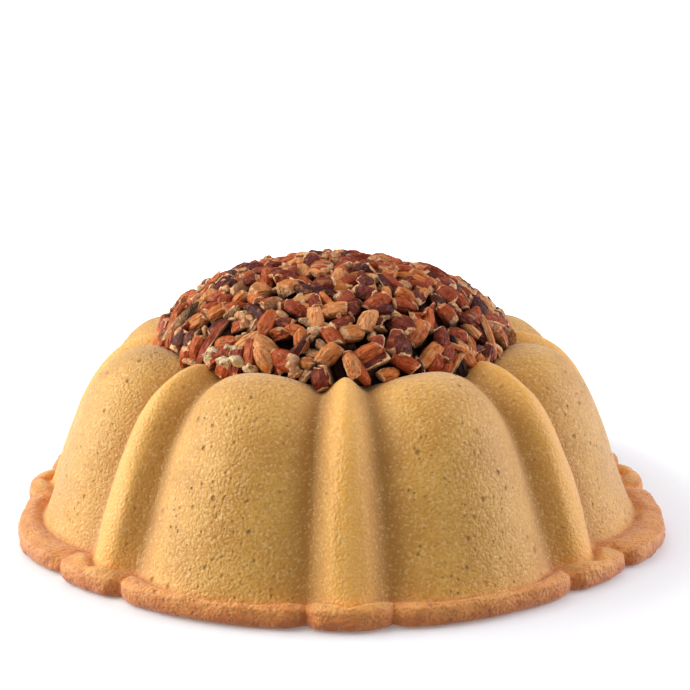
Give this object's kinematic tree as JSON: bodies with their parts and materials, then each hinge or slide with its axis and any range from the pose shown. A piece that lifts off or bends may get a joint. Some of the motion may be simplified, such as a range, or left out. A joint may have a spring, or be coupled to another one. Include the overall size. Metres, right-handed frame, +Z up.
{
  "type": "bundt cake",
  "caption": "Uncut golden ring-tin cake with broad lobes, narrow ribs, a browned rolled foot rim and a dome of chopped pecans, for a table, cake stand or bakery scene.",
  "frame": {"origin": "centre of the flat base, on the surface that the cake stands on", "axes": "+Z up through the middle of the dome; a narrow rib faces -Y and +X is to its right"},
  "size_m": [0.2556, 0.245, 0.1039],
  "materials": {
    "golden_crust": "baked golden crust with fine open pores, matte with a slight buttery sheen",
    "chopped_pecans": "chopped pecans, red-brown skins and pale broken faces, satin"
  },
  "bodies": {
    "root": {"cake": "golden_crust", "pecan_crown": "chopped_pecans"}
  },
  "joints": []
}
